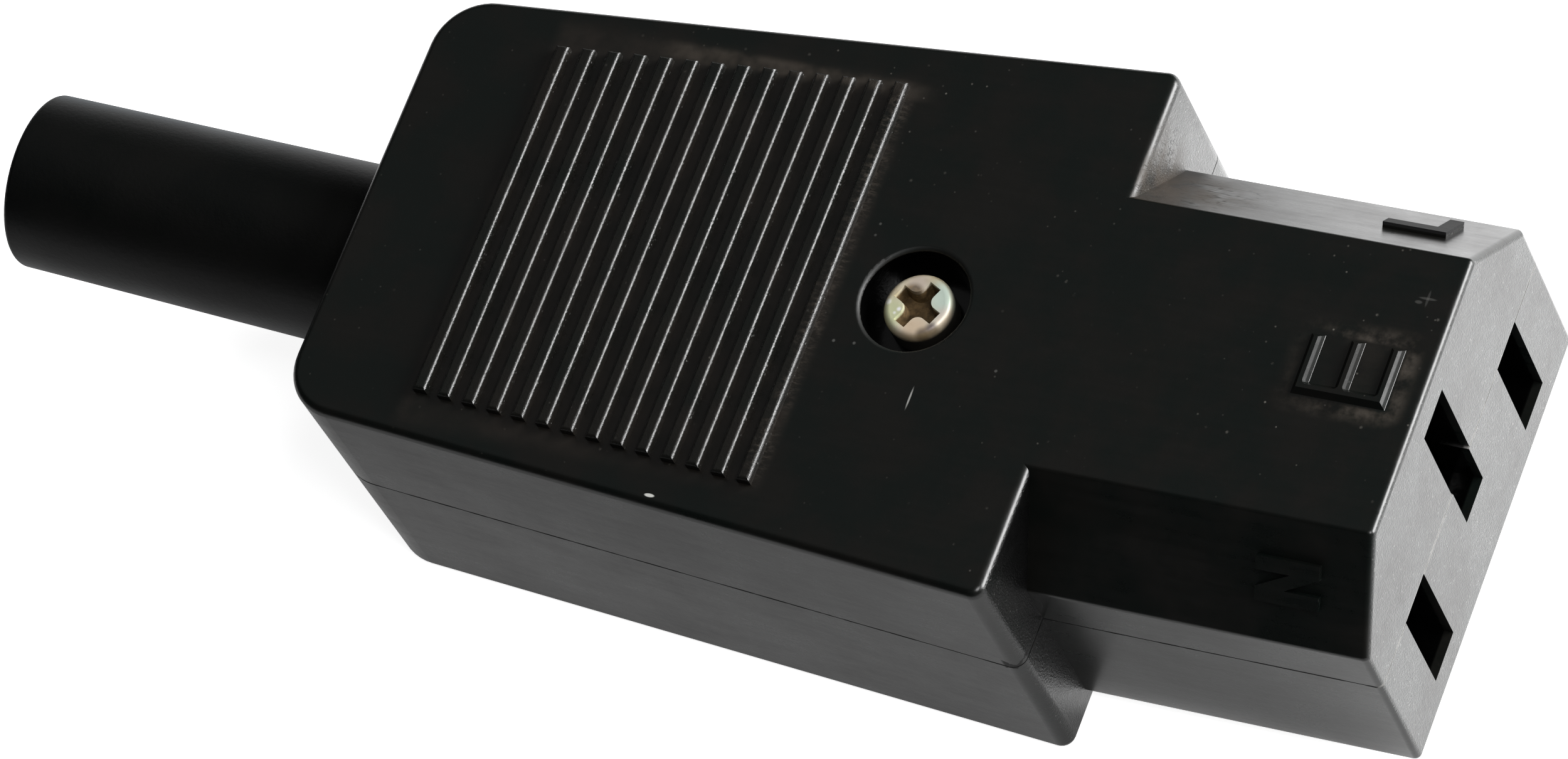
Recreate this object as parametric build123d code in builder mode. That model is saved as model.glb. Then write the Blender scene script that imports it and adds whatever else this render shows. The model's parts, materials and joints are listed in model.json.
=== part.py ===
from build123d import *
import math
import os

# Rewireable appliance connector: two moulded shells closed by one screw round three
# female contacts, a cord clamp and a rubber cable sleeve. Millimetres, +X towards the
# pin slots, +Y towards the line contact, +Z up from the flat underside.

# Housing, outside
nose_length = 17.8
nose_height = 15.6
nose_flat = 15.0
nose_side_wall = 2.5
nose_floor_wall = 1.8
nose_top_wall = 1.8
chamfer_drop = 4.75
body_length = 40.0
shoulder_width = 29.6
rear_width = 23.9
body_height = 16.6
rear_corner_radius = 3.0
shoulder_corner_radius = 0.7
top_edge_radius = 0.45
nose_edge_radius = 0.3
front_edge_radius = 0.35
seam_depth = 0.07
seam_half_gap = 0.035

# Housing, inside
side_wall = 1.8
floor_wall = 1.8
top_wall = 1.8
front_wall = 2.0
fit_clearance = 0.1
tip_clearance = 0.3
peg_diameter = 1.2
peg_height = 1.2
peg_setback = 8.0

# Pin slots
pin_spacing = 14.0
slot_width = 2.7
slot_height = 6.2
earth_slot_height = 8.8
earth_slot_step = 0.1

# Grip ribs on the top
rib_count = 14
rib_pitch = 1.425
rib_width = 0.72
rib_height = 0.5
rib_round = 0.2
rib_margin = 2.45
first_rib_inset = 7.95

# Raised terminal marks
mark_height = 0.3
mark_stroke = 0.72
earth_mark_draft = 40.0
earth_mark_length = 4.85
earth_mark_width = 3.3
earth_mark_setback = 1.65
earth_mark_offset = 0.5
side_mark_length = 3.3
side_mark_width = 2.3
side_mark_setback = 2.55
line_mark_slide = 0.6

# Closing screw and its nut
screw_setback = 9.03
screw_thread = 2.0
screw_head_diameter = 3.6
screw_head_height = 1.5
screw_head_round = 0.38
screw_head_depth = 0.5
screw_head_clearance = 1.0
counterbore_round = 0.25
pillar_wall = 1.0
nut_across_flats = 4.0
nut_height = 1.6
nut_rise = 2.0
cross_span = 2.6
cross_arm = 0.75
cross_depth = 0.9
cross_lobe_round = 0.45
cross_taper = 8.0
cross_turn = -26.0

# Contacts, folded from brass strip
sheet = 0.7
jaw_setback = 5.5
jaw_length = 9.5
jaw_height = 5.4
jaw_inner_width = 2.3
jaw_squeeze = 0.3
jaw_flare = 0.3
jaw_lead_in = 1.8
strip_width = 3.4
pad_size = 6.0
pad_clearance = 0.2
line_pad_setback = 8.2
line_pad_margin = 0.6
line_pad_rise = 2.2
ramp_length = 2.2
earth_pad_setback = 2.0

# Steel spring round each jaw
spring_sheet = 0.35
spring_length = 4.0
spring_setback = 3.0
spring_leg = 3.6
spring_clearance = 0.15

# Terminal screws and their clamp plates
terminal_thread = 3.0
terminal_head_diameter = 5.0
terminal_head_height = 1.7
terminal_slot = 0.8
terminal_slot_depth = 0.9
clamp_plate_size = 5.6
clamp_plate_thickness = 0.8
clamp_plate_corner = 0.8
tip_hole_margin = 0.6

# Cord clamp
clamp_inset = 11.8
clamp_screw_spacing = 14.0
clamp_boss_wall = 1.0
clamp_boss_height = 8.2
clamp_bar_width = 5.0
clamp_bar_thickness = 2.4
clamp_arch_rise = 1.2
clamp_screw_thread = 2.5
clamp_screw_length = 7.0
clamp_head_diameter = 4.4
clamp_head_height = 1.6
saddle_length = 3.0
saddle_height = 5.0
saddle_gap = 0.3
saddle_dip = 1.2
cord_ease = 0.2

# Cable sleeve
sleeve_length = 21.4
sleeve_bore = 6.8
sleeve_neck_wall = 1.0
sleeve_flange_lip = 1.1
sleeve_root_lip = 0.48
sleeve_taper_drop = 0.3
sleeve_rise = 5.7
sleeve_flange_thickness = 1.8
sleeve_end_round = 0.3

# Sizes that follow from the ones above
spring_width = jaw_inner_width + 2 * sheet + fit_clearance
channel_width = spring_width + 2 * spring_sheet + 2 * spring_clearance
nose_width = pin_spacing + channel_width + 2 * nose_side_wall
nose_floor = body_height - nose_height
slot_floor = nose_floor + nose_floor_wall
parting_height = slot_floor + slot_height
earth_slot_top = body_height - nose_top_wall
earth_slot_floor = earth_slot_top - earth_slot_height
inner_top = body_height - top_wall
counterbore_diameter = screw_head_diameter + 2 * screw_head_clearance
pillar_diameter = counterbore_diameter + 2 * pillar_wall
clamp_boss_diameter = clamp_screw_thread + fit_clearance + 2 * clamp_boss_wall
neck_diameter = sleeve_bore + 2 * sleeve_neck_wall
flange_diameter = neck_diameter + 2 * sleeve_flange_lip
root_diameter = neck_diameter + 2 * sleeve_root_lip
end_diameter = root_diameter - 2 * sleeve_taper_drop

# Stations along X, with the whole connector centred on the origin
rise = math.radians(sleeve_rise)
sleeve_reach = sleeve_length * math.cos(rise) + end_diameter / 2 * math.sin(rise)
x_front = (nose_length + body_length + sleeve_reach) / 2
x_shoulder = x_front - nose_length
x_rear = x_shoulder - body_length
x_screw = x_shoulder - screw_setback
x_clamp = x_rear + clamp_inset
x_chamber = x_shoulder - side_wall
x_slot_back = x_front - front_wall
x_earth_pad = x_shoulder - earth_pad_setback
x_line_pad = x_shoulder - line_pad_setback


def body_half_width(x):
    """Half the body's width at station x, along its straight taper."""
    share = (x_shoulder - x) / body_length
    return (shoulder_width + (rear_width - shoulder_width) * share) / 2


# Each pole: name, centre line of its slot, floor of its channel, place of its terminal pad
x_line_pad_rear = x_line_pad - pad_size / 2
x_line_pad_front = x_line_pad + pad_size / 2
line_pad_offset = body_half_width(x_line_pad_rear) - side_wall - line_pad_margin - pad_size / 2
line_pad_height = slot_floor + line_pad_rise
poles = [
    ("line", pin_spacing / 2, slot_floor, x_line_pad, line_pad_offset, line_pad_height),
    ("neutral", -pin_spacing / 2, slot_floor, x_line_pad, -line_pad_offset, line_pad_height),
    ("earth", 0, earth_slot_floor, x_earth_pad, 0, earth_slot_floor),
]

os.makedirs("parts", exist_ok=True)

# Outer envelope of the closed housing
with BuildSketch() as body_outline:
    with BuildLine():
        Polyline(
            (x_rear, -rear_width / 2),
            (x_shoulder, -shoulder_width / 2),
            (x_shoulder, shoulder_width / 2),
            (x_rear, rear_width / 2),
            close=True,
        )
    make_face()
    fillet(body_outline.vertices().group_by(Axis.X)[0], radius=rear_corner_radius)
    fillet(body_outline.vertices().group_by(Axis.X)[-1], radius=shoulder_corner_radius)

with BuildPart() as nose_block:
    with BuildSketch(Plane.YZ.offset(x_chamber)) as nose_profile:
        with BuildLine():
            Polyline(
                (-nose_width / 2, nose_floor),
                (nose_width / 2, nose_floor),
                (nose_width / 2, body_height - chamfer_drop),
                (nose_flat / 2, body_height),
                (-nose_flat / 2, body_height),
                (-nose_width / 2, body_height - chamfer_drop),
                close=True,
            )
        make_face()
        fillet(nose_profile.vertices(), radius=nose_edge_radius)
    extrude(amount=x_front - x_chamber)
    fillet(nose_block.faces().sort_by(Axis.X)[-1].edges(), radius=front_edge_radius)

with BuildPart() as envelope:
    add(body_outline.sketch)
    extrude(amount=body_height)
    fillet(envelope.edges().group_by(Axis.Z)[-1], radius=top_edge_radius)
    fillet(envelope.edges().group_by(Axis.Z)[0], radius=top_edge_radius)
    add(nose_block.part)

# Open space inside the closed housing: chamber, channels, slots and cable hole
with BuildPart() as hollow:
    with BuildSketch(Plane.XY.offset(floor_wall)):
        add(body_outline.sketch)
        offset(amount=-side_wall, kind=Kind.INTERSECTION, mode=Mode.REPLACE)
    extrude(amount=inner_top - floor_wall)
    # line and neutral lie under the parting line, from their terminals to the front wall
    with BuildSketch(Plane.XY.offset(slot_floor)):
        for pole, y_pin, z_floor, x_pad, y_pad, z_pad in poles[:2]:
            with Locations(((x_line_pad_front + x_slot_back) / 2, y_pin)):
                Rectangle(x_slot_back - x_line_pad_front, channel_width)
            with Locations(((x_slot_back + x_front) / 2, y_pin)):
                Rectangle(x_front - x_slot_back, slot_width)
    extrude(amount=slot_height)
    # earth crosses the parting line, its slot a little narrower in the lower shell
    with BuildSketch(Plane.XY.offset(earth_slot_floor)):
        with Locations(((x_chamber + x_slot_back) / 2, 0)):
            Rectangle(x_slot_back - x_chamber, channel_width)
        with Locations(((x_slot_back + x_front) / 2, 0)):
            Rectangle(x_front - x_slot_back, slot_width - 2 * earth_slot_step)
    extrude(amount=earth_slot_height)
    with BuildSketch(Plane.XY.offset(parting_height)):
        with Locations(((x_slot_back + x_front) / 2, 0)):
            Rectangle(x_front - x_slot_back, slot_width)
    extrude(amount=earth_slot_top - parting_height)
    # pocket in the shoulder wall for the earth terminal
    pocket_end = x_earth_pad + pad_size / 2 + pad_clearance
    with BuildSketch(Plane.XY.offset(earth_slot_floor)):
        with Locations(((x_chamber + pocket_end) / 2, 0)):
            Rectangle(pocket_end - x_chamber, pad_size + 2 * pad_clearance)
    extrude(amount=inner_top - earth_slot_floor)
    with BuildSketch(Plane.YZ.offset(x_rear)):
        with Locations((0, parting_height)):
            Circle((neck_diameter + fit_clearance) / 2)
    extrude(amount=side_wall)

# Fine groove that the parting line leaves round the closed housing
with BuildSketch() as seam_outline:
    add(body_outline.sketch)
    with Locations(((x_chamber + x_front) / 2, 0)):
        Rectangle(x_front - x_chamber, nose_width)
    fillet(seam_outline.vertices().group_by(Axis.X)[-1], radius=front_edge_radius)

with BuildPart() as seam_groove:
    with BuildSketch(Plane.XY.offset(parting_height - seam_half_gap)):
        add(seam_outline.sketch)
        offset(amount=seam_depth, mode=Mode.REPLACE)
    extrude(amount=2 * seam_half_gap)
    with BuildSketch(Plane.XY.offset(parting_height - seam_half_gap)):
        add(seam_outline.sketch)
        offset(amount=-seam_depth, kind=Kind.INTERSECTION, mode=Mode.REPLACE)
    extrude(amount=2 * seam_half_gap, mode=Mode.SUBTRACT)

# Places of the two locating pegs, in the thick side walls of the nose
peg_y = (nose_width - nose_side_wall) / 2
with BuildSketch() as peg_outline:
    with Locations((x_front - peg_setback, peg_y), (x_front - peg_setback, -peg_y)):
        Circle(peg_diameter / 2)

# Chamfers of the nose, which carry the L and N marks
chamfer_run = (nose_width - nose_flat) / 2
chamfer_slope = math.hypot(chamfer_run, chamfer_drop)


def mark_plane(side, slide):
    """Plane of one chamfer, read from the slot end, its origin a distance down the slope."""
    across = nose_flat / 2 + slide * chamfer_run / chamfer_slope
    height = body_height - slide * chamfer_drop / chamfer_slope
    return Plane(
        origin=(x_front - side_mark_setback, side * across, height),
        x_dir=(0, chamfer_run, -side * chamfer_drop),
        z_dir=(0, side * chamfer_drop, chamfer_run),
    )


with BuildPart() as upper_shell:
    add(envelope.part)
    split(bisect_by=Plane.XY.offset(parting_height), keep=Keep.TOP)
    add(hollow.part, mode=Mode.SUBTRACT)
    # screw pillar, counterbore and clearance hole
    with BuildSketch(Plane.XY.offset(parting_height)):
        with Locations((x_screw, 0)):
            Circle(pillar_diameter / 2)
    extrude(amount=inner_top - parting_height)
    with Locations((x_screw, 0, body_height)):
        CounterBoreHole(
            (screw_thread + fit_clearance) / 2,
            counterbore_diameter / 2,
            screw_head_depth + screw_head_height,
        )
    fillet(upper_shell.edges(Select.LAST).group_by(Axis.Z)[-1], radius=counterbore_round)
    # grip ribs follow the taper of the body
    with BuildSketch(Plane.XY.offset(body_height)):
        for number in range(rib_count):
            x_rib = x_rear + first_rib_inset - rib_width / 2 + number * rib_pitch
            with Locations((x_rib, 0)):
                Rectangle(rib_width, 2 * (body_half_width(x_rib) - rib_margin))
    extrude(amount=rib_height)
    fillet(upper_shell.edges().group_by(Axis.Z)[-1], radius=rib_round)
    # E over the earth slot, its foot towards the slots
    x_mark = x_front - earth_mark_setback - earth_mark_length / 2
    spine_y = earth_mark_offset - earth_mark_width / 2
    arm_step = (earth_mark_length - mark_stroke) / 2
    with BuildSketch(Plane.XY.offset(body_height)):
        with Locations((x_mark, spine_y + mark_stroke / 2)):
            Rectangle(earth_mark_length, mark_stroke)
        with Locations((x_mark, earth_mark_offset)):
            with GridLocations(arm_step, 0, 3, 1):
                Rectangle(mark_stroke, earth_mark_width)
    extrude(amount=mark_height, taper=earth_mark_draft)
    # L on the line side
    with BuildSketch(mark_plane(1, chamfer_slope / 2 + line_mark_slide)):
        with Locations(((mark_stroke - side_mark_width) / 2, side_mark_length / 2)):
            Rectangle(mark_stroke, side_mark_length)
        with Locations((0, mark_stroke / 2)):
            Rectangle(side_mark_width, mark_stroke)
    extrude(amount=mark_height)
    # N on the neutral side
    with BuildSketch(mark_plane(-1, chamfer_slope / 2)):
        with Locations((0, side_mark_length / 2)):
            with GridLocations(side_mark_width - mark_stroke, 0, 2, 1):
                Rectangle(mark_stroke, side_mark_length)
        with BuildLine():
            Polyline(
                (-side_mark_width / 2, side_mark_length),
                (-side_mark_width / 2 + mark_stroke, side_mark_length),
                (side_mark_width / 2, 0),
                (side_mark_width / 2 - mark_stroke, 0),
                close=True,
            )
        make_face()
    extrude(amount=mark_height)
    with BuildSketch(Plane.XY.offset(parting_height)):
        add(peg_outline.sketch)
    extrude(amount=-peg_height)
    add(seam_groove.part, mode=Mode.SUBTRACT)
upper_shell.part.label = "upper_shell"
export_step(upper_shell.part, "parts/upper_shell.step")

with BuildPart() as lower_shell:
    add(envelope.part)
    split(bisect_by=Plane.XY.offset(parting_height), keep=Keep.BOTTOM)
    add(hollow.part, mode=Mode.SUBTRACT)
    # seats under the three terminals, bored for the screw tips
    for pole, y_pin, z_floor, x_pad, y_pad, z_pad in poles:
        with BuildSketch(Plane.XY.offset(floor_wall)):
            with Locations((x_pad, y_pad)):
                Rectangle(pad_size, pad_size)
        extrude(amount=z_pad - floor_wall)
        with BuildSketch(Plane.XY.offset(floor_wall)):
            with Locations((x_pad, y_pad)):
                Circle(terminal_thread / 2 + tip_hole_margin)
        extrude(amount=z_pad - floor_wall, mode=Mode.SUBTRACT)
    # screw pillar, with a pocket for the nut that opens to the rear
    with BuildSketch(Plane.XY.offset(floor_wall)):
        with Locations((x_screw, 0)):
            Circle(pillar_diameter / 2)
    extrude(amount=parting_height - floor_wall)
    with BuildSketch(Plane.XY.offset(floor_wall)):
        with Locations((x_screw, 0)):
            Circle((screw_thread + fit_clearance) / 2)
    extrude(amount=parting_height - floor_wall, mode=Mode.SUBTRACT)
    pocket_flats = nut_across_flats + fit_clearance
    with BuildSketch(Plane.XY.offset(floor_wall + nut_rise)):
        with Locations((x_screw, 0)):
            RegularPolygon(pocket_flats / 2, 6, major_radius=False, rotation=90)
        with Locations((x_screw - pillar_diameter / 2, 0)):
            Rectangle(pillar_diameter, pocket_flats)
    extrude(amount=nut_height + fit_clearance, mode=Mode.SUBTRACT)
    # cord clamp pillars and the saddle between them
    with BuildSketch(Plane.XY.offset(floor_wall)):
        with Locations((x_clamp, 0)):
            with GridLocations(0, clamp_screw_spacing, 1, 2):
                Circle(clamp_boss_diameter / 2)
                Circle((clamp_screw_thread + fit_clearance) / 2, mode=Mode.SUBTRACT)
    extrude(amount=clamp_boss_height - floor_wall)
    with BuildSketch(Plane.YZ.offset(x_clamp - saddle_length / 2)):
        with Locations((0, floor_wall)):
            Rectangle(
                clamp_screw_spacing - clamp_boss_diameter - 2 * saddle_gap,
                saddle_height - floor_wall,
                align=(Align.CENTER, Align.MIN),
            )
        with Locations((0, saddle_height - saddle_dip + sleeve_bore / 2 + cord_ease)):
            Circle(sleeve_bore / 2 + cord_ease, mode=Mode.SUBTRACT)
    extrude(amount=saddle_length)
    with BuildSketch(Plane.XY.offset(parting_height)):
        add(peg_outline.sketch)
        offset(amount=fit_clearance / 2, mode=Mode.REPLACE)
    extrude(amount=-(peg_height + fit_clearance), mode=Mode.SUBTRACT)
    add(seam_groove.part, mode=Mode.SUBTRACT)
lower_shell.part.label = "lower_shell"
export_step(lower_shell.part, "parts/lower_shell.step")

# Rubber sleeve: flange and neck are gripped by the shells, the tube outside leans upwards
sleeve_direction = Vector(-math.cos(rise), 0, math.sin(rise))
sleeve_side = Plane(origin=(x_rear, 0, parting_height), x_dir=sleeve_direction, z_dir=(0, -1, 0))
sleeve_end = Plane(origin=sleeve_side.origin, x_dir=(0, 1, 0), z_dir=sleeve_direction)
taper_slope = sleeve_taper_drop / sleeve_length

with BuildPart() as cable_sleeve:
    with BuildSketch(sleeve_side):
        with BuildLine():
            Polyline(
                (-side_wall, 0),
                (-side_wall, root_diameter / 2 + side_wall * taper_slope),
                (sleeve_length, end_diameter / 2),
                (sleeve_length, 0),
                close=True,
            )
        make_face()
    revolve(axis=Axis(sleeve_side.origin, sleeve_direction))
    split(bisect_by=Plane.YZ.offset(x_rear), keep=Keep.BOTTOM)
    fillet(cable_sleeve.faces().sort_by(Axis.X)[0].edges(), radius=sleeve_end_round)
    with BuildSketch(Plane.YZ.offset(x_rear)):
        with Locations((0, parting_height)):
            Circle(neck_diameter / 2)
    extrude(amount=side_wall)
    with BuildSketch(Plane.YZ.offset(x_rear + side_wall)):
        with Locations((0, parting_height)):
            Circle(flange_diameter / 2)
    extrude(amount=sleeve_flange_thickness)
    with BuildSketch(sleeve_end):
        Circle(sleeve_bore / 2)
    extrude(amount=2 * sleeve_length, both=True, mode=Mode.SUBTRACT)
cable_sleeve.part.label = "cable_sleeve"
export_step(cable_sleeve.part, "parts/cable_sleeve.step")

# Cross-shaped driver recess of the closing screw and the two clamp screws
with BuildSketch() as cross_outline:
    Rectangle(cross_span, cross_arm)
    Rectangle(cross_arm, cross_span)
    fillet(cross_outline.vertices().sort_by_distance((0, 0))[:4], radius=cross_lobe_round)

# Screw and nut that close the housing
z_screw_seat = body_height - screw_head_depth - screw_head_height
with BuildPart() as housing_screw:
    with BuildSketch(Plane.XY.offset(z_screw_seat)):
        with Locations((x_screw, 0)):
            Circle(screw_head_diameter / 2)
    extrude(amount=screw_head_height)
    fillet(housing_screw.edges().group_by(Axis.Z)[-1], radius=screw_head_round)
    with BuildSketch(Plane.XY.offset(z_screw_seat)):
        with Locations((x_screw, 0)):
            Circle(screw_thread / 2)
    extrude(amount=floor_wall + tip_clearance - z_screw_seat)
    with BuildSketch(Plane.XY.offset(z_screw_seat + screw_head_height)):
        with Locations((x_screw, 0)):
            add(cross_outline.sketch, rotation=cross_turn)
    extrude(amount=-cross_depth, taper=cross_taper, mode=Mode.SUBTRACT)
housing_screw.part.label = "housing_screw"
export_step(housing_screw.part, "parts/housing_screw.step")

with BuildPart() as housing_nut:
    with BuildSketch(Plane.XY.offset(floor_wall + nut_rise + fit_clearance / 2)):
        with Locations((x_screw, 0)):
            RegularPolygon(nut_across_flats / 2, 6, major_radius=False, rotation=90)
            Circle((screw_thread + fit_clearance) / 2, mode=Mode.SUBTRACT)
    extrude(amount=nut_height)
housing_nut.part.label = "housing_nut"
export_step(housing_nut.part, "parts/housing_nut.step")

# Contacts, their springs, clamp plates and screws, one set for each pole
x_jaw_front = x_front - jaw_setback
x_jaw_rear = x_jaw_front - jaw_length
x_jaw_bend = x_jaw_front - 2 * jaw_lead_in
x_spring = x_jaw_front - spring_setback - spring_length
leaf_y = (jaw_inner_width + sheet) / 2

for pole, y_pin, z_floor, x_pad, y_pad, z_pad in poles:
    with BuildPart() as contact:
        # the two leaves of the jaw, pinched near the mouth
        with BuildSketch(Plane.XY.offset(z_floor)):
            for leaf in (1, -1):
                with BuildLine():
                    Polyline(
                        (x_jaw_rear, y_pin + leaf * leaf_y),
                        (x_jaw_bend, y_pin + leaf * leaf_y),
                        (x_jaw_front - jaw_lead_in, y_pin + leaf * (leaf_y - jaw_squeeze)),
                        (x_jaw_front, y_pin + leaf * (leaf_y + jaw_flare)),
                    )
                trace(line_width=sheet)
        extrude(amount=jaw_height)
        # floor between the leaves
        with BuildSketch(Plane.XY.offset(z_floor)):
            with Locations(((x_jaw_rear + x_jaw_bend) / 2, y_pin)):
                Rectangle(x_jaw_bend - x_jaw_rear, strip_width)
        extrude(amount=sheet)
        # strip back to the terminal, stepped up where the terminal is higher
        x_step = x_pad + (pad_size + sheet) / 2
        z_strip = z_floor + sheet / 2
        with BuildSketch(Plane.XZ.offset(-y_pin)):
            with BuildLine():
                if z_pad > z_floor:
                    Polyline(
                        (x_jaw_rear + sheet, z_strip),
                        (x_step + ramp_length, z_strip),
                        (x_step, z_pad + sheet / 2),
                        (x_step - sheet, z_pad + sheet / 2),
                    )
                else:
                    Line((x_jaw_rear + sheet, z_strip), (x_step - sheet, z_strip))
            trace(line_width=sheet)
        extrude(amount=strip_width / 2, both=True)
        # terminal pad with its threaded hole
        with BuildSketch(Plane.XY.offset(z_pad)):
            with Locations((x_pad, y_pad)):
                Rectangle(pad_size, pad_size)
        extrude(amount=sheet)
        with Locations((x_pad, y_pad, z_pad + sheet)):
            Hole((terminal_thread + fit_clearance) / 2)
    contact.part.label = f"{pole}_contact"
    export_step(contact.part, f"parts/{pole}_contact.step")

    # clip over the leaves, open below
    z_bridge = z_floor + jaw_height + fit_clearance / 2
    with BuildPart() as contact_spring:
        with BuildSketch(Plane.YZ.offset(x_spring)):
            with Locations((y_pin, z_bridge + spring_sheet)):
                Rectangle(
                    spring_width + 2 * spring_sheet,
                    spring_leg + spring_sheet,
                    align=(Align.CENTER, Align.MAX),
                )
            with Locations((y_pin, z_bridge)):
                Rectangle(
                    spring_width,
                    spring_leg,
                    align=(Align.CENTER, Align.MAX),
                    mode=Mode.SUBTRACT,
                )
        extrude(amount=spring_length)
        outer_edges = contact_spring.edges().filter_by(Axis.X).group_by(Axis.Z)[-1]
        fillet(outer_edges, radius=spring_sheet / 2)
    contact_spring.part.label = f"{pole}_contact_spring"
    export_step(contact_spring.part, f"parts/{pole}_contact_spring.step")

    z_plate = z_pad + sheet
    with BuildPart() as clamp_plate:
        with BuildSketch(Plane.XY.offset(z_plate)):
            with Locations((x_pad, y_pad)):
                RectangleRounded(clamp_plate_size, clamp_plate_size, clamp_plate_corner)
                Circle((terminal_thread + fit_clearance) / 2, mode=Mode.SUBTRACT)
        extrude(amount=clamp_plate_thickness)
    clamp_plate.part.label = f"{pole}_clamp_plate"
    export_step(clamp_plate.part, f"parts/{pole}_clamp_plate.step")

    z_head = z_plate + clamp_plate_thickness
    z_tip = z_pad - line_pad_height + floor_wall + tip_clearance
    with BuildPart() as terminal_screw:
        with BuildSketch(Plane.XY.offset(z_head)):
            with Locations((x_pad, y_pad)):
                Circle(terminal_head_diameter / 2)
        extrude(amount=terminal_head_height)
        fillet(terminal_screw.edges().group_by(Axis.Z)[-1], radius=terminal_head_height / 4)
        with BuildSketch(Plane.XY.offset(z_head + terminal_head_height)):
            with Locations((x_pad, y_pad)):
                Rectangle(terminal_head_diameter, terminal_slot)
        extrude(amount=-terminal_slot_depth, mode=Mode.SUBTRACT)
        with BuildSketch(Plane.XY.offset(z_head)):
            with Locations((x_pad, y_pad)):
                Circle(terminal_thread / 2)
        extrude(amount=z_tip - z_head)
    terminal_screw.part.label = f"{pole}_terminal_screw"
    export_step(terminal_screw.part, f"parts/{pole}_terminal_screw.step")

# Bar that presses the cord on its saddle, and its two screws
with BuildPart() as cord_clamp_bar:
    with BuildSketch(Plane.XY.offset(clamp_boss_height)):
        with Locations((x_clamp, 0)):
            SlotCenterToCenter(clamp_screw_spacing, clamp_bar_width, rotation=90)
            with GridLocations(0, clamp_screw_spacing, 1, 2):
                Circle((clamp_screw_thread + fit_clearance) / 2, mode=Mode.SUBTRACT)
    extrude(amount=clamp_bar_thickness)
    with BuildSketch(Plane.YZ.offset(x_clamp)):
        with Locations((0, clamp_boss_height + clamp_arch_rise - sleeve_bore / 2 - cord_ease)):
            Circle(sleeve_bore / 2 + cord_ease)
    extrude(amount=clamp_bar_width, both=True, mode=Mode.SUBTRACT)
cord_clamp_bar.part.label = "cord_clamp_bar"
export_step(cord_clamp_bar.part, "parts/cord_clamp_bar.step")

z_clamp_head = clamp_boss_height + clamp_bar_thickness
for side, y_screw in (("left", clamp_screw_spacing / 2), ("right", -clamp_screw_spacing / 2)):
    with BuildPart() as clamp_screw:
        with BuildSketch(Plane.XY.offset(z_clamp_head)):
            with Locations((x_clamp, y_screw)):
                Circle(clamp_head_diameter / 2)
        extrude(amount=clamp_head_height)
        fillet(clamp_screw.edges().group_by(Axis.Z)[-1], radius=clamp_head_height / 3)
        with BuildSketch(Plane.XY.offset(z_clamp_head)):
            with Locations((x_clamp, y_screw)):
                Circle(clamp_screw_thread / 2)
        extrude(amount=-clamp_screw_length)
        with BuildSketch(Plane.XY.offset(z_clamp_head + clamp_head_height)):
            with Locations((x_clamp, y_screw)):
                add(cross_outline.sketch)
        extrude(amount=-cross_depth, taper=cross_taper, mode=Mode.SUBTRACT)
    clamp_screw.part.label = f"cord_clamp_screw_{side}"
    export_step(clamp_screw.part, f"parts/cord_clamp_screw_{side}.step")
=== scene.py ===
import json
import math

import bpy
from mathutils import Matrix, Vector


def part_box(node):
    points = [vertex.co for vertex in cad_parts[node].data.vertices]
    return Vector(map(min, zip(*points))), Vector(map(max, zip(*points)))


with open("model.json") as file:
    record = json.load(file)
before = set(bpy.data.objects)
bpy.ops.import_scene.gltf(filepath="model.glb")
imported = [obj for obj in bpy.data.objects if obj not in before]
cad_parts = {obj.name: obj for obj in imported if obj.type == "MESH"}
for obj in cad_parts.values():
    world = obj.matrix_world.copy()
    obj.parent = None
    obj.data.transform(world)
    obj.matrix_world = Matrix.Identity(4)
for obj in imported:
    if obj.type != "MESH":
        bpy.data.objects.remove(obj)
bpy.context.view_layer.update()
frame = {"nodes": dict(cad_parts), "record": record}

MM = 0.001

# Stations of the connector, read from the frame
floor_low, floor_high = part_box("lower_shell")
screw_low, screw_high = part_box("housing_screw")
RIB_HEIGHT = 0.5 * MM
NOSE_LENGTH = 17.8 * MM
NOSE_SIDE = 11.9 * MM
X_FRONT = floor_high.x
X_REAR = floor_low.x
X_SHOULDER = X_FRONT - NOSE_LENGTH
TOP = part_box("upper_shell")[1].z - RIB_HEIGHT
SEAM = floor_high.z
HALF_SHOULDER = floor_high.y
SCREW = Vector(((screw_low.x + screw_high.x) / 2, 0.0, screw_high.z))
SLEEVE_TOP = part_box("cable_sleeve")[1].z

# Band of grip ribs on the top face
RIBS_REAR = X_REAR + 7.2 * MM
RIBS_FRONT = X_REAR + 26.5 * MM
RIBS_HALF = 11.0 * MM

# Sloping top corners of the nose: half the flat between them, and how far they fall
FLAT_HALF = 7.5 * MM
CHAMFER_DROP = 4.75 * MM
CHAMFER_NORMAL = Vector((CHAMFER_DROP, NOSE_SIDE - FLAT_HALF)).normalized()

# Raised letter on the nose: its centre, half its length and width, and half way up its slopes
LETTER = (X_FRONT - 4.07 * MM, 0.5 * MM)
LETTER_HALF = (2.42 * MM, 1.65 * MM)
LETTER_MID_HEIGHT = 0.15 * MM

# Slots and screw well, whose insides are painted dark as shade: half the reach of the slots across, how
# far behind the shoulder they are followed, and the well's radius
SLOTS_HALF = 8.5 * MM
SLOTS_BEHIND = 15 * MM
WELL_RADIUS = 3.2 * MM


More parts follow.
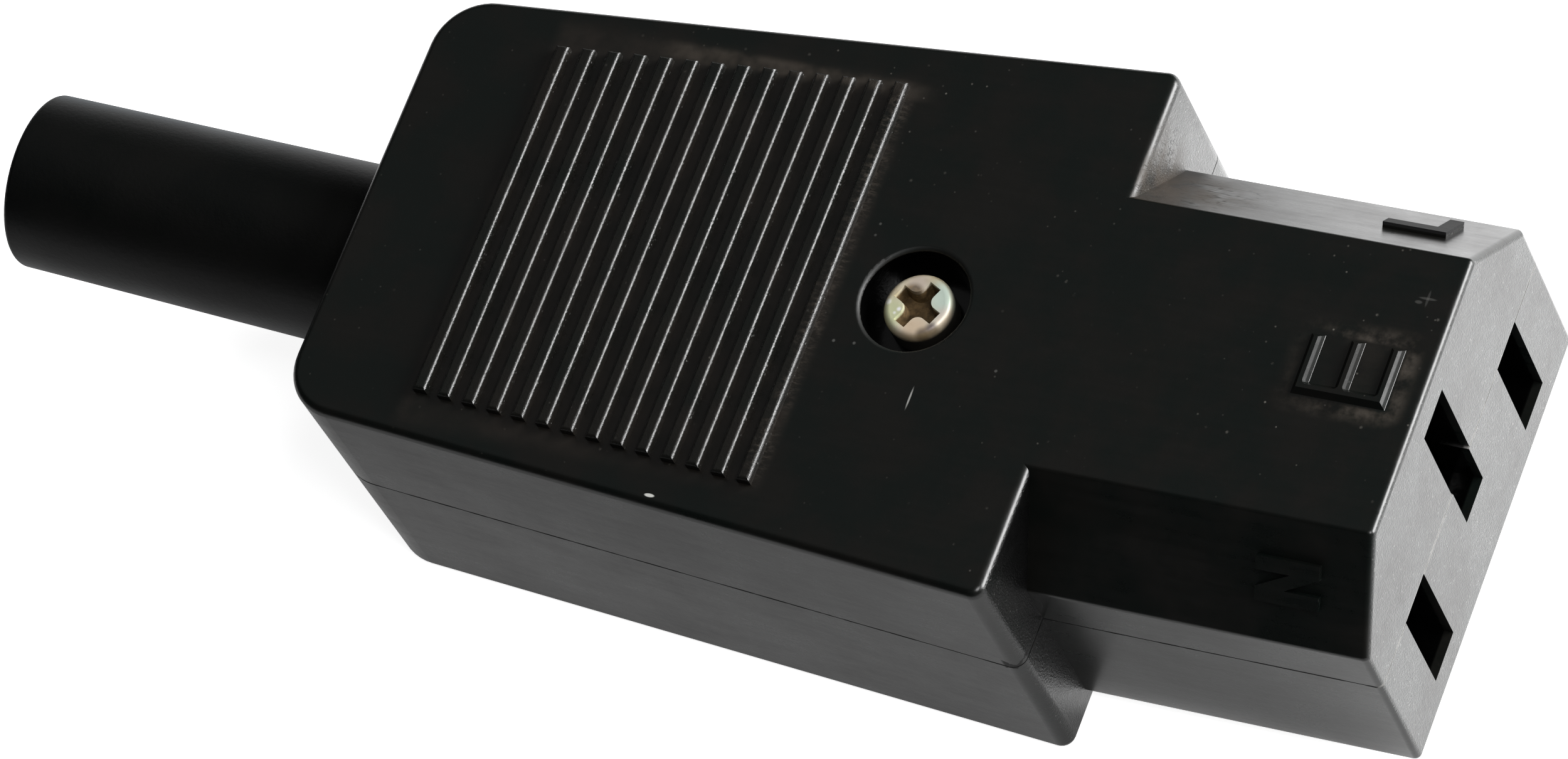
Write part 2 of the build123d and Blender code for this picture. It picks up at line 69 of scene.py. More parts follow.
class Nodes:
    """Short way to add and link shader nodes in one material."""

    def __init__(self, name):
        self.material = bpy.data.materials.new(name)
        self.material.use_nodes = True
        self.tree = self.material.node_tree
        self.shader = self.tree.nodes["Principled BSDF"]
        self.place = self.add("ShaderNodeTexCoord").outputs["Object"]
        self.x, self.y, self.z = self.split(self.place)
        self.normal = self.split(self.add("ShaderNodeNewGeometry").outputs["Normal"])

    def add(self, kind, **inputs):
        """A new node; settings that are its own go in as attributes, the rest as sockets."""
        node = self.tree.nodes.new(kind)
        for key, value in inputs.items():
            if hasattr(node, key):
                setattr(node, key, value)
            else:
                self.set(node.inputs[key.replace("_", " ")], value)
        return node

    def set(self, socket, value):
        """Links a socket to another, or writes a plain value into it."""
        if isinstance(value, bpy.types.NodeSocket):
            self.tree.links.new(value, socket)
        else:
            socket.default_value = value

    def split(self, vector):
        """The three coordinates of a vector socket."""
        node = self.add("ShaderNodeSeparateXYZ")
        self.set(node.inputs[0], vector)
        return node.outputs["X"], node.outputs["Y"], node.outputs["Z"]

    def noise(self, scale, detail=2.0, roughness=0.5, place=None):
        node = self.add("ShaderNodeTexNoise", Scale=scale, Detail=detail, Roughness=roughness)
        self.set(node.inputs["Vector"], place or self.place)
        return node.outputs["Fac"]

    def ramp(self, value, low, high, out_low=0.0, out_high=1.0):
        """Smooth step from out_low to out_high while the value goes from low to high."""
        node = self.add("ShaderNodeMapRange")
        node.interpolation_type = "SMOOTHSTEP"
        numbers = {"From Min": low, "From Max": high, "To Min": out_low, "To Max": out_high}
        for key, number in numbers.items():
            self.set(node.inputs[key], number)
        self.set(node.inputs["Value"], value)
        return node.outputs["Result"]

    def inverse(self, mask):
        return self.ramp(mask, 0.0, 1.0, 1.0, 0.0)

    def math(self, operation, a, b=0.0):
        node = self.add("ShaderNodeMath", operation=operation)
        self.set(node.inputs[0], a)
        self.set(node.inputs[1], b)
        return node.outputs["Value"]

    def fold(self, operation, values):
        result = values[0]
        for value in values[1:]:
            result = self.math(operation, result, value)
        return result

    def product(self, *factors):
        return self.fold("MULTIPLY", factors)

    def total(self, *parts):
        return self.fold("ADD", parts)

    def most(self, *values):
        return self.fold("MAXIMUM", values)

    def swing(self, noise, size):
        """A noise's value as a swing of the given size to both sides of zero."""
        return self.product(self.math("SUBTRACT", noise, 0.5), size)

    def mix(self, factor, a, b):
        node = self.add("ShaderNodeMix", data_type="RGBA")
        self.set(node.inputs[0], factor)
        self.set(node.inputs[6], a if isinstance(a, bpy.types.NodeSocket) else (*a, 1.0))
        self.set(node.inputs[7], b if isinstance(b, bpy.types.NodeSocket) else (*b, 1.0))
        return node.outputs[2]

    def stretched(self, scale, turn=(0.0, 0.0, 0.0)):
        """Object coordinates turned and stretched, for streaks and scratches."""
        node = self.add("ShaderNodeMapping")
        node.inputs["Rotation"].default_value = turn
        node.inputs["Scale"].default_value = scale
        self.set(node.inputs["Vector"], self.place)
        return node.outputs["Vector"]

    def bump(self, height, strength, distance, normal=None):
        node = self.add("ShaderNodeBump", Distance=distance)
        self.set(node.inputs["Strength"], strength)
        self.set(node.inputs["Height"], height)
        if normal is not None:
            self.set(node.inputs["Normal"], normal)
        return node.outputs["Normal"]

    def band(self, value, low, high, edge):
        """1 between low and high, falling to 0 over the edge width on both sides."""
        rise = self.ramp(value, low - edge, low)
        fall = self.ramp(value, high, high + edge, 1.0, 0.0)
        return self.math("MULTIPLY", rise, fall)

    def near(self, point, radius, edge, stretch=(1.0, 1.0, 1.0)):
        """1 within radius of a point, falling to 0 over the edge width; stretch squeezes an axis."""
        offset = self.add("ShaderNodeVectorMath", operation="SUBTRACT")
        self.set(offset.inputs[0], self.place)
        self.set(offset.inputs[1], point)
        scaled = self.add("ShaderNodeVectorMath", operation="MULTIPLY")
        self.set(scaled.inputs[0], offset.outputs["Vector"])
        self.set(scaled.inputs[1], stretch)
        length = self.add("ShaderNodeVectorMath", operation="LENGTH")
        self.set(length.inputs[0], scaled.outputs["Vector"])
        return self.ramp(length.outputs["Value"], radius, radius + edge, 1.0, 0.0)

    def specks(self, scale, share, size):
        """Scattered dust specks: share of the cells that hold one, size of a speck in cells."""
        ragged = self.add("ShaderNodeVectorMath", operation="MULTIPLY_ADD")
        self.set(ragged.inputs[0], self.add("ShaderNodeTexNoise", Scale=scale * 3.0).outputs["Color"])
        self.set(ragged.inputs[1], (0.30 / scale,) * 3)
        self.set(ragged.inputs[2], self.place)
        cell = self.add("ShaderNodeTexVoronoi", Scale=scale)
        self.set(cell.inputs["Vector"], ragged.outputs["Vector"])
        chosen = self.add("ShaderNodeTexWhiteNoise")
        self.set(chosen.inputs["Vector"], cell.outputs["Position"])
        kept = self.ramp(chosen.outputs["Value"], 1.0 - share, 1.0)
        spot = self.ramp(cell.outputs["Distance"], size * 0.4, size, 1.0, 0.0)
        return self.math("MULTIPLY", kept, spot)

    def hairlines(self, scale, turn, width, keep):
        """Fine scratches in one direction, broken up so that few are left."""
        streak = self.noise(1.0, detail=1.0, place=self.stretched(scale, turn))
        line = self.ramp(self.math("ABSOLUTE", self.math("SUBTRACT", streak, 0.5)), 0.0, width, 1.0, 0.0)
        patch = self.ramp(self.noise(210, detail=1.0), keep, keep + 0.05)
        return self.math("MULTIPLY", line, patch)

    def finish(self, colour, roughness, specular=0.5, metallic=0.0):
        self.set(self.shader.inputs["Base Color"], colour)
        self.set(self.shader.inputs["Roughness"], roughness)
        self.shader.inputs["Specular IOR Level"].default_value = specular
        self.shader.inputs["Metallic"].default_value = metallic
        return self.material


# Colours on the housing
COOL_BLACK = (0.0023, 0.0038, 0.0032)
WARM_BLACK = (0.0040, 0.0039, 0.0032)
# dust colour, also used as a painted fill that lightens the shade in the rib grooves
RIB_DUST_AND_FILL = (0.0150, 0.0122, 0.0100)
RUBBED_DIRT = (0.046, 0.037, 0.028)
CORNER_SMUDGE = (0.050, 0.036, 0.024)
TOP_DUST = (0.16, 0.15, 0.13)
# colour of the pale marks, and of the painted glint on the nick
PALE_MARK_AND_GLINT = (0.60, 0.60, 0.57)
END_GRAIN = (0.14, 0.14, 0.135)
# painted shade for the slots and the screw well, and the nose's painted dark reflection on the shoulder
PAINTED_SHADE_BLACK = (0.0004, 0.0004, 0.0004)
# painted shade on the letter on the lit slope
LETTER_SHADE_BLACK = (0.0008, 0.0008, 0.0008)
SEAM_GRIME = (0.0010, 0.0010, 0.0010)
SEAM_DUST = (0.24, 0.235, 0.225)

# Single marks on the top face and one painted glint, in mm: place from the front face and across, radius,
# stretch, and how pale they are
TOP_MARKS_AND_GLINT = (
    # painted glint on a small nick at the -Y top edge, standing in for its highlight
    ((-36.27, -12.95), 0.12, (0.6, 1.7), 0.9),
    ((-25.11, -5.22), 0.035, (1.6, 0.14), 0.45),
    ((-30.06, 3.68), 0.03, (1.0, 1.0), 0.08),
    ((-30.09, 3.03), 0.03, (1.0, 1.0), 0.06),
    ((-33.40, 2.85), 0.03, (1.0, 1.0), 0.05),
    ((-30.08, -2.97), 0.04, (1.0, 1.0), 0.10),
    ((-28.99, -2.9), 0.04, (1.0, 1.0), 0.09),
    ((-21.33, -2.94), 0.04, (1.0, 1.0), 0.08),
    ((-1.52, 5.03), 0.09, (0.30, 1.9), 0.05),
    ((-1.52, 5.03), 0.09, (1.9, 0.30), 0.035),
    ((-1.92, 4.78), 0.07, (0.6, 1.2), 0.05),
    ((-48.98, -1.93), 0.07, (1.0, 0.5), 0.6),
)
MARK_EDGE = 0.07 * MM


class HousingNodes(Nodes):
    """The housing's nodes, with the masks and noises that several of its marks share."""

    def __init__(self):
        super().__init__("housing_plastic")
        self.up = self.ramp(self.normal[2], 0.85, 0.97)
        self.ends = self.ramp(self.normal[0], 0.72, 0.9)
        self.off_middle = self.math("ABSOLUTE", self.y)
        self.cloud = self.noise(240, detail=4.0, roughness=0.6)
        self.blotch = self.noise(420, detail=3.0, roughness=0.6)


# Brown dust between the ribs, also a painted fill that lightens the shade in the grooves; less on the rib
# tops
def dust_and_fill_between_ribs(n):
    return n.product(
        n.band(n.x, RIBS_REAR, RIBS_FRONT, 0.8 * MM),
        n.ramp(n.off_middle, RIBS_HALF, RIBS_HALF + 1.2 * MM, 1.0, 0.0),
        n.ramp(n.z, TOP - 0.1 * MM, TOP),
        n.ramp(n.z, TOP + 0.1 * MM, TOP + 0.4 * MM, 1.0, 0.35),
        n.ramp(n.blotch, 0.3, 0.7, 0.3, 0.9),
    )


def lint_at_last_rib(n):
    slanted = n.stretched((1500, 4200, 900), (0, 0, 0.5))
    streak = n.noise(1.0, detail=3.0, roughness=0.75, place=slanted)
    return n.product(
        n.band(n.x, RIBS_FRONT - 0.2 * MM, RIBS_FRONT, 0.65 * MM),
        n.band(n.y, -RIBS_HALF, RIBS_HALF - 0.6 * MM, 0.6 * MM),
        n.ramp(streak, 0.42, 0.75),
        n.ramp(n.noise(330), 0.35, 0.6, 0.15, 1.0),
        n.up,
    )


def haze_at_rib_ends(n):
    return n.product(
        n.band(n.x, X_REAR + 14.5 * MM, RIBS_FRONT - 1.0 * MM, 3.0 * MM),
        n.band(n.y, RIBS_HALF - 0.1 * MM, RIBS_HALF + 0.35 * MM, 0.45 * MM),
        n.ramp(n.blotch, 0.34, 0.66, 0.1, 1.0),
        n.up,
    )


def gap_from_letter(n):
    """How far a point lies outside the rectangle round the raised letter."""
    squares = []
    for along, middle, half in zip((n.x, n.y), LETTER, LETTER_HALF):
        off = n.math("ABSOLUTE", n.math("SUBTRACT", along, middle))
        away = n.math("MAXIMUM", n.math("SUBTRACT", off, half), 0.0)
        squares.append(n.product(away, away))
    return n.math("SQRT", n.total(*squares))


def halo_round_letter(n, gap):
    """Polish and dirt round the letter, stronger in front of it."""
    return n.product(
        n.ramp(gap, 0.0, 0.2 * MM, 0.12, 1.0),
        n.ramp(gap, 0.3 * MM, 1.2 * MM, 1.0, 0.0),
        n.ramp(n.x, LETTER[0] - 3.4 * MM, LETTER[0] + 1.0 * MM, 0.25, 1.0),
        n.ramp(n.noise(620, detail=4.0, roughness=0.65), 0.36, 0.68),
        n.ramp(n.z, TOP + 0.02 * MM, TOP + 0.06 * MM, 1.0, 0.0),
        n.up,
    )


def dull_letter_slopes(n, gap):
    """The letter's forward slopes shine in their upper half only, and the front stroke's most."""
    slopes = n.product(
        n.ramp(gap, 0.0, 0.05 * MM, 1.0, 0.0),
        n.ramp(n.normal[0], 0.5, 0.7),
        n.ramp(n.z, TOP + 0.01 * MM, TOP + 0.03 * MM),
    )
    middle = TOP + LETTER_MID_HEIGHT
    lower_half = n.ramp(n.z, middle - 0.03 * MM, middle + 0.03 * MM, 1.0, 0.0)
    by_stroke = n.ramp(n.x, LETTER[0] + 0.8 * MM, LETTER[0] + 1.4 * MM, 0.85, 0.60)
    return n.product(slopes, n.total(by_stroke, n.product(lower_half, 0.8)))


def worn_corner(n):
    """Smudges and scores on the chamfer and the corner behind it."""
    place = Vector((X_SHOULDER + 0.6 * MM, 9.2 * MM, 14.8 * MM))
    corner = n.near(place, 1.0 * MM, 3.6 * MM, (0.7, 1.0, 1.0))
    corner = n.product(corner, n.ramp(n.normal[2], 0.80, 0.95, 1.0, 0.0))
    scores = n.hairlines((520, 3600, 2400), (0.3, 0.0, 0.5), 0.05, 0.35)
    smudge = n.product(corner, n.ramp(n.blotch, 0.32, 0.62))
    return smudge, n.product(scores, corner)


def dust_on_top(n):
    patch = n.ramp(n.noise(95, detail=2.0), 0.36, 0.62, 0.12, 1.0)
    forward = n.ramp(n.x, X_REAR, X_SHOULDER, 0.35, 1.0)
    return n.product(n.most(n.specks(1300, 0.16, 0.13), n.specks(2900, 0.10, 0.2)), n.up, patch, forward)


# Mask of the painted shade inside the slots
def slots_inside(n):
    return n.product(
        n.band(n.x, X_SHOULDER - SLOTS_BEHIND, X_FRONT - 0.55 * MM, 0.15 * MM),
        n.ramp(n.off_middle, SLOTS_HALF, SLOTS_HALF + 0.3 * MM, 1.0, 0.0),
        n.band(n.z, 2.0 * MM, TOP - 2.0 * MM, 0.2 * MM),
    )


def screw_well(n):
    """The well's inside, painted dark as shade, and its rounded rim, which is only made rougher."""
    column = n.near(Vector((SCREW.x, 0.0, TOP)), WELL_RADIUS, 0.4 * MM, (1.0, 1.0, 0.0))
    inside = n.product(column, n.ramp(n.z, TOP - 0.22 * MM, TOP - 0.12 * MM, 1.0, 0.0))
    rim = n.product(column, n.band(n.z, TOP - 0.2 * MM, TOP - 0.02 * MM, 0.02 * MM))
    return inside, rim


def shoulder_in_shade(n):
    """The shoulder beside the nose lies in the nose's dark reflection, apart from its foot."""
    return n.product(
        n.ends,
        n.band(n.x, X_SHOULDER - 1 * MM, X_SHOULDER + 0.5 * MM, 0.3 * MM),
        n.ramp(n.y, -NOSE_SIDE - 1.6 * MM, -NOSE_SIDE - 0.2 * MM, 0.5, 1.0),
        n.ramp(n.y, 0.0, 1.0 * MM, 1.0, 0.0),
        n.ramp(n.z, 3.0 * MM, 4.5 * MM),
    )


def letter_on_slope(n):
    """The letter on the lit slope is painted dark as shade; its face is also rubbed matt."""
    above_slope = n.total(
        n.product(n.math("SUBTRACT", n.y, FLAT_HALF), CHAMFER_NORMAL.x),
        n.product(n.math("SUBTRACT", n.z, TOP), CHAMFER_NORMAL.y),
    )
    return n.product(
        n.ramp(above_slope, 0.10 * MM, 0.2 * MM),
        n.ramp(n.x, X_SHOULDER + 4 * MM, X_SHOULDER + 5 * MM),
        n.ramp(n.y, FLAT_HALF + 0.7 * MM, FLAT_HALF + 1.1 * MM),
        n.ramp(n.y, NOSE_SIDE - 0.6 * MM, NOSE_SIDE - 0.2 * MM, 1.0, 0.0),
    )


def parting_line(n):
    """Grime in patches along the parting line, ragged beside the nose, and pale dust at the slots."""
    wander = n.total(n.z, n.swing(n.noise(1100, detail=3.0), 2.2 * MM))
    ragged = n.product(
        n.band(wander, SEAM + 0.1 * MM, SEAM + 0.3 * MM, 0.08 * MM),
        n.band(n.x, X_SHOULDER - 0.9 * MM, X_SHOULDER + 0.4 * MM, 0.2 * MM),
        n.ramp(n.y, -NOSE_SIDE, -NOSE_SIDE + 0.5 * MM, 1.0, 0.0),
    )
    line = n.band(n.z, SEAM - 0.05 * MM, SEAM + 0.05 * MM, 0.04 * MM)
    patchy = n.ramp(n.noise(700, detail=2.0), 0.42, 0.58)
    grime = n.most(n.product(line, patchy, n.inverse(n.ends)), ragged)
    dust = n.product(
        line,
        n.ramp(n.x, X_FRONT - 0.35 * MM, X_FRONT - 0.2 * MM),
        n.ramp(n.noise(800, detail=3.0), 0.30, 0.70, 0.35, 1.0),
    )
    return grime, dust


def housing_relief(n):
    """Fine moulded grain everywhere, and sparkle on the end faces and the ridges of the ribs."""
    ridges = n.product(
        n.band(n.x, RIBS_REAR - 0.5 * MM, RIBS_FRONT + 0.5 * MM, 0.3 * MM),
        n.ramp(n.z, TOP + 0.25 * MM, TOP + 0.35 * MM),
    )
    grain = n.noise(5200, detail=3.0, roughness=0.6)
    grained = n.bump(grain, n.ramp(n.ends, 0.0, 1.0, 0.14, 0.22), 0.03 * MM)
    sparkle = n.noise(8200, detail=2.0, roughness=0.8)
    strength = n.most(n.ramp(n.ends, 0.0, 1.0, 0.0, 0.6), n.product(ridges, 0.45))
    return n.bump(sparkle, strength, 0.05 * MM, grained)


def housing_plastic():
    """Moulded black plastic: faint mottling, a sparkly texture on the end faces, dust and rubbed dirt,
    with painted shade in the slots, the screw well and on the slope letter, a painted dark reflection on
    the shoulder, a painted glint at a nick and a painted fill in the rib grooves.
    """
    n = HousingNodes()
    letter_gap = gap_from_letter(n)
    halo = halo_round_letter(n, letter_gap)
    dirt = n.most(
        n.product(lint_at_last_rib(n), 0.75),
        n.product(haze_at_rib_ends(n), 0.5),
        n.product(halo, 0.75),
    )
    smudge, scores = worn_corner(n)
    dust = dust_on_top(n)
    grains = n.product(n.most(n.specks(3600, 0.35, 0.24), n.specks(6400, 0.25, 0.3)), n.ends)
    in_well, well_rim = screw_well(n)
    inside = n.most(slots_inside(n), in_well)
    slope_letter = letter_on_slope(n)
    seam_grime, seam_dust = parting_line(n)

    colour = n.mix(n.ramp(n.cloud, 0.36, 0.64), COOL_BLACK, WARM_BLACK)
    # dust, and painted fill against the shade in the rib grooves
    colour = n.mix(dust_and_fill_between_ribs(n), colour, RIB_DUST_AND_FILL)
    colour = n.mix(dirt, colour, RUBBED_DIRT)
    colour = n.mix(n.product(smudge, 0.5), colour, CORNER_SMUDGE)
    colour = n.mix(n.product(dust, 0.6), colour, TOP_DUST)
    # pale marks, and the painted glint on the nick
    for (x, y), radius, stretch, pale in TOP_MARKS_AND_GLINT:
        place = Vector((X_FRONT + x * MM, y * MM, TOP))
        mark = n.near(place, radius * MM, MARK_EDGE, (*stretch, 0.4))
        colour = n.mix(n.product(mark, pale), colour, PALE_MARK_AND_GLINT)
    colour = n.mix(n.product(grains, 0.9), colour, END_GRAIN)
    # painted shade in the slots and screw well, and the nose's painted dark reflection on the shoulder
    colour = n.mix(n.most(inside, shoulder_in_shade(n)), colour, PAINTED_SHADE_BLACK)
    # painted shade on the letter on the lit slope
    colour = n.mix(slope_letter, colour, LETTER_SHADE_BLACK)
    colour = n.mix(seam_grime, colour, SEAM_GRIME)
    colour = n.mix(seam_dust, colour, SEAM_DUST)

    # rougher where dirt, dust and wear take the shine away, smoother inside the slots and well, where
    # their shade is painted
    fine = n.noise(2600, detail=2.0, roughness=0.7)
    streaks = n.noise(1.0, detail=3.0, place=n.stretched((160, 2600, 2600)))
    dulled = n.most(
        dirt,
        dust,
        seam_grime,
        scores,
        slope_letter,
        n.product(well_rim, 0.5),
        n.product(smudge, 0.6),
        dull_letter_slopes(n, letter_gap),
    )
    roughness = n.total(
        n.ramp(n.cloud, 0.3, 0.7, 0.27, 0.34),
        n.swing(fine, 0.06),
        n.swing(streaks, 0.12),
        n.product(dulled, 0.45),
        n.product(inside, -0.14),
    )
    n.set(n.shader.inputs["Normal"], housing_relief(n))
    return n.finish(colour, roughness, specular=0.5)


# Two pale specks on the sleeve, in mm: how far behind the housing and across
SLEEVE_SPECKS = ((14.6, 3.7), (13.0, 4.3))


def sleeve_rubber():
    """Soft matt rubber with a cool rim light painted on its +Y side."""
    n = Nodes("sleeve_rubber")
    cloud = n.noise(170, detail=3.0)
    grain = n.noise(3800, detail=3.0, roughness=0.65)
    # painted bluish rim light on the faces turned towards +Y
    painted_rim_light = n.product(n.ramp(n.normal[1], 0.62, 0.97), n.ramp(cloud, 0.3, 0.7, 0.7, 1.0))
    colour = n.mix(n.ramp(cloud, 0.3, 0.7), (0.0010, 0.0016, 0.0015), (0.0020, 0.0021, 0.0018))
    colour = n.mix(painted_rim_light, colour, (0.0100, 0.0175, 0.0235))
    for behind, across in SLEEVE_SPECKS:
        place = Vector((X_REAR - behind * MM, across * MM, SLEEVE_TOP))
        speck = n.near(place, 0.10 * MM, 0.5 * MM, (1.0, 1.0, 0.3))
        colour = n.mix(n.product(speck, 0.35), colour, (0.09, 0.08, 0.07))
    n.set(n.shader.inputs["Normal"], n.bump(grain, 0.35, 0.04 * MM))
    n.shader.inputs["Sheen Weight"].default_value = 0.04
    n.shader.inputs["Sheen Roughness"].default_value = 0.3
    n.shader.inputs["Sheen Tint"].default_value = (0.72, 0.86, 1.0, 1.0)
    return n.finish(colour, n.ramp(cloud, 0.3, 0.7, 0.42, 0.50), specular=0.22)


# Tints and painted highlights on the screw head, in mm: place from its axis, reach, colour and strength
SCREW_TINTS_AND_HIGHLIGHTS = (
    ((-1.2, -0.74), 0.9, (0.58, 0.62, 0.36), 0.8),
    ((1.44, 0.63), 1.2, (0.70, 0.84, 0.74), 0.9),
    ((1.68, -0.37), 0.6, (0.78, 0.66, 0.58), 0.7),
    ((0.35, -1.29), 0.8, (0.70, 0.52, 0.36), 0.7),
    ((-0.37, 1.13), 0.6, (0.66, 0.56, 0.50), 0.7),
    # the next three are painted highlights on the -X side of the head
    ((-1.52, -0.12), 0.17, (1.0, 1.0, 0.92), 0.9),
    ((-0.83, -0.42), 0.13, (1.0, 1.0, 1.0), 1.0),
    ((-0.98, -0.66), 0.10, (1.0, 1.0, 1.0), 0.8),
    ((1.19, -1.12), 0.34, (0.10, 0.08, 0.09), 0.85),
    ((0.85, -1.55), 0.40, (0.05, 0.035, 0.03), 0.8),
)
SCREW_RIM = (0.24, 0.17, 0.07)
# painted shade on the side of the screw head
SCREW_SIDE_SHADE = (0.012, 0.010, 0.007)
RECESS_BROWN = ((0.060, 0.036, 0.012), (0.15, 0.095, 0.040))
RECESS_RADIUS = 1.38 * MM


def screw_metal():
    """Yellow-passivated zinc, worn: cool and bright on the lands, warm at the rim, brown in the recess,
    with painted highlights on the -X side and painted shade on the head's side.
    """
    n = Nodes("closing_screw_metal")
    patch = n.noise(520, detail=3.0, roughness=0.6)
    fine = n.noise(2600, detail=3.0, roughness=0.7)
    colour = n.mix(n.ramp(patch, 0.35, 0.65), (0.60, 0.50, 0.32), (0.80, 0.74, 0.60))
    # tints, and painted highlights on the -X side of the head
    for (x, y), radius, tint_and_highlight, share in SCREW_TINTS_AND_HIGHLIGHTS:
        place = SCREW + Vector((x, y, -0.1)) * MM
        spot = n.near(place, 0.4 * radius * MM, radius * MM, (1.0, 1.0, 0.6))
        colour = n.mix(n.product(spot, share), colour, tint_and_highlight)

    rim = n.inverse(n.near(SCREW, 1.5 * MM, 0.3 * MM, (1.0, 1.0, 0.0)))
    outside = n.inverse(n.near(SCREW, 1.55 * MM, 0.1 * MM, (1.0, 1.0, 0.0)))
    # the head's side below the top, painted dark as shade
    side = n.ramp(n.z, SCREW.z - 0.60 * MM, SCREW.z - 0.36 * MM, 1.0, 0.0)
    recess = n.product(
        n.near(SCREW, RECESS_RADIUS, 0.1 * MM, (1.0, 1.0, 0.2)),
        n.ramp(n.z, SCREW.z - 0.26 * MM, SCREW.z - 0.10 * MM, 1.0, 0.0),
    )
    pocket_place = SCREW + Vector((-0.45, 0.55, 0.0)) * MM
    pocket = n.near(pocket_place, 0.35 * MM, 0.35 * MM, (1.0, 1.0, 0.2))
    grime = n.most(recess, n.product(pocket, 0.85))
    colour = n.mix(n.product(rim, 0.6), colour, SCREW_RIM)
    colour = n.mix(grime, colour, n.mix(n.ramp(fine, 0.35, 0.7), *RECESS_BROWN))
    # painted shade on the head's side
    colour = n.mix(n.product(side, outside), colour, SCREW_SIDE_SHADE)

    n.set(n.shader.inputs["Normal"], n.bump(fine, 0.25, 0.03 * MM))
    roughness = n.total(n.ramp(patch, 0.3, 0.7, 0.30, 0.42), n.product(n.most(grime, rim), 0.25))
    material = n.finish(colour, roughness)
    n.set(n.shader.inputs["Metallic"], n.ramp(n.most(grime, side), 0.0, 1.0, 0.38, 0.12))
    return material


def metal(name, dark, light, rough, grain_scale):
    """Plated or plain metal of the inner pieces, with light tarnish."""
    n = Nodes(name)
    cloud = n.noise(grain_scale, detail=4.0, roughness=0.6)
    tarnish = n.ramp(n.noise(grain_scale / 3, detail=3.0), 0.45, 0.75)
    colour = n.mix(n.ramp(cloud, 0.3, 0.7), dark, light)
    colour = n.mix(n.product(tarnish, 0.4), colour, tuple(0.5 * part for part in dark))
    n.set(n.shader.inputs["Normal"], n.bump(n.noise(grain_scale * 6), 0.15, 0.02 * MM))
    roughness = n.total(n.ramp(cloud, 0.3, 0.7, rough - 0.06, rough + 0.08), n.product(tarnish, 0.12))
    return n.finish(colour, roughness, metallic=1.0)


MATERIALS = {
    "housing_plastic": housing_plastic(),
    "sleeve_rubber": sleeve_rubber(),
    "closing_screw_metal": screw_metal(),
    "nut_steel": metal("nut_steel", (0.45, 0.45, 0.43), (0.65, 0.65, 0.63), 0.35, 800),
    "contact_brass": metal("contact_brass", (0.55, 0.38, 0.15), (0.80, 0.62, 0.30), 0.30, 700),
    "spring_steel": metal("spring_steel", (0.35, 0.35, 0.36), (0.55, 0.55, 0.55), 0.28, 900),
    "terminal_steel": metal("terminal_steel", (0.48, 0.47, 0.44), (0.70, 0.69, 0.66), 0.30, 900),
    "clamp_plastic": sleeve_rubber(),
    "clamp_screw_steel": metal("clamp_screw_steel", (0.45, 0.45, 0.45), (0.68, 0.68, 0.68), 0.32, 900),
}

for row in frame["record"]["subparts"]:
    piece = frame["nodes"][row["node"]]
    piece.data.materials.clear()
    piece.data.materials.append(MATERIALS[row["material_slot"]])


def camera():
    """The photograph's view: a long lens, looking down from the front right, rolled."""
    place = Vector((X_FRONT + 126.29 * MM, -144.95 * MM, 325.76 * MM))
    aim = Vector((X_FRONT - 36.045 * MM, -1.782 * MM, 8.3 * MM))
    roll = math.radians(-32.072)
    data = bpy.data.cameras.new("camera")
    data.sensor_width = 36.0
    data.lens = 176.639
    data.clip_start = 0.01
    data.clip_end = 20.0
    cam = bpy.data.objects.new("camera", data)
    bpy.context.scene.collection.objects.link(cam)
    turn = (aim - place).to_track_quat("-Z", "Y").to_matrix().to_4x4()
    cam.matrix_world = Matrix.Translation(place) @ turn @ Matrix.Rotation(roll, 4, "Z")
    bpy.context.scene.camera = cam


def table_top():
    """A flat sheet just under the object."""
    half = 3.0
    drop = -0.02 * MM
    corners = [(x * half, y * half, drop) for x, y in ((-1, -1), (1, -1), (1, 1), (-1, 1))]
    mesh = bpy.data.meshes.new("table")
    mesh.from_pydata(corners, [], [(0, 1, 2, 3)])
    top = bpy.data.objects.new("table", mesh)
    bpy.context.scene.collection.objects.link(top)
    return top


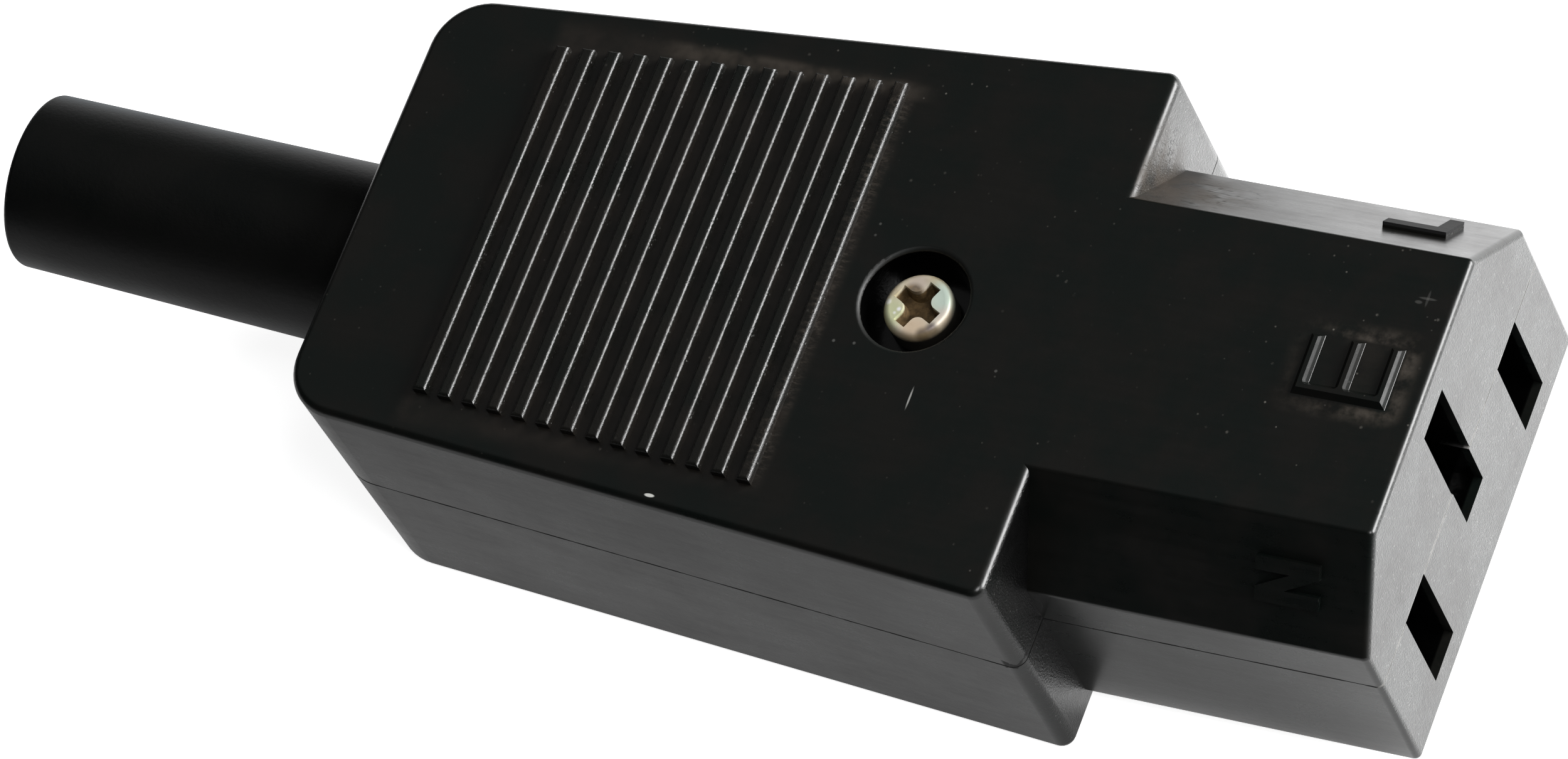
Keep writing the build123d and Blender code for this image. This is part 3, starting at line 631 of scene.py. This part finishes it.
def table():
    """White table top. In reflections it shows a painted glow for lit and shaded table, strongest in front
    of the slots, where the light falls.
    """
    n = Nodes("table_white")
    path = n.add("ShaderNodeLightPath")
    # painted glow, seen only in reflections, standing in for lit table and the object's shadow beside it
    beside = n.ramp(n.y, -HALF_SHOULDER - 8 * MM, -NOSE_SIDE - 2 * MM, 0.03, 0.26)
    beyond = n.product(
        n.ramp(n.y, HALF_SHOULDER + 6 * MM, HALF_SHOULDER + 18 * MM),
        n.ramp(n.x, X_SHOULDER - 8 * MM, X_SHOULDER + 3 * MM, 0.0, 1.6),
    )
    ahead = n.product(
        n.band(n.x, X_SHOULDER + 2 * MM, X_FRONT + 40 * MM, 6 * MM),
        n.ramp(n.y, -NOSE_SIDE - 1.2 * MM, -NOSE_SIDE + 0.4 * MM),
        n.ramp(n.y, HALF_SHOULDER + 4 * MM, HALF_SHOULDER + 12 * MM, 1.0, 0.0),
        n.ramp(n.y, -NOSE_SIDE, HALF_SHOULDER, 0.72, 0.92),
        1.9,
    )
    foot = Vector((X_SHOULDER + 4 * MM, HALF_SHOULDER + 3 * MM, 0.0))
    by_shoulder = n.near(foot, 3 * MM, 5 * MM)
    shine = n.total(beside, beyond, ahead, by_shoulder)
    # the painted glow goes to glossy and transmission rays only
    mirrored = n.total(path.outputs["Is Glossy Ray"], path.outputs["Is Transmission Ray"])
    glow = n.total(n.product(path.outputs["Is Camera Ray"], 0.9), n.product(mirrored, shine))
    n.shader.inputs["Emission Color"].default_value = (1.0, 1.0, 1.0, 1.0)
    n.set(n.shader.inputs["Emission Strength"], glow)
    n.finish((0.85, 0.85, 0.85, 1.0), 1.0, specular=0.0)
    table_top().data.materials.append(n.material)


def soft_box(name, place, size, power):
    """A rectangular lamp that faces the middle of the object."""
    middle = Vector((0.0, 0.0, 10 * MM))
    data = bpy.data.lights.new(name, "AREA")
    data.shape = "RECTANGLE"
    data.size, data.size_y = size
    data.energy = power
    lamp = bpy.data.objects.new(name, data)
    bpy.context.scene.collection.objects.link(lamp)
    lamp.location = place
    lamp.rotation_euler = (middle - Vector(place)).to_track_quat("-Z", "Y").to_euler()


def studio():
    """Dark room that shows white behind the object, with a low key beyond the slots."""
    world = bpy.data.worlds.new("studio")
    world.use_nodes = True
    bpy.context.scene.world = world
    tree = world.node_tree
    path = tree.nodes.new("ShaderNodeLightPath")
    strength = tree.nodes.new("ShaderNodeMapRange")
    strength.inputs["To Min"].default_value = 0.03
    strength.inputs["To Max"].default_value = 1.0
    tree.links.new(path.outputs["Is Camera Ray"], strength.inputs["Value"])
    background = tree.nodes["Background"]
    background.inputs["Color"].default_value = (1.0, 1.0, 1.0, 1.0)
    tree.links.new(strength.outputs["Result"], background.inputs["Strength"])
    soft_box("key", (0.42, 0.22, 0.18), (0.35, 0.25), 6.0)
    soft_box("fill", (0.30, -0.08, 0.50), (0.20, 0.20), 1.3)
    soft_box("overhead", (-0.38, 0.33, 0.75), (0.70, 0.70), 0.16)


camera()
table()
studio()
bpy.context.scene.view_settings.view_transform = "Standard"
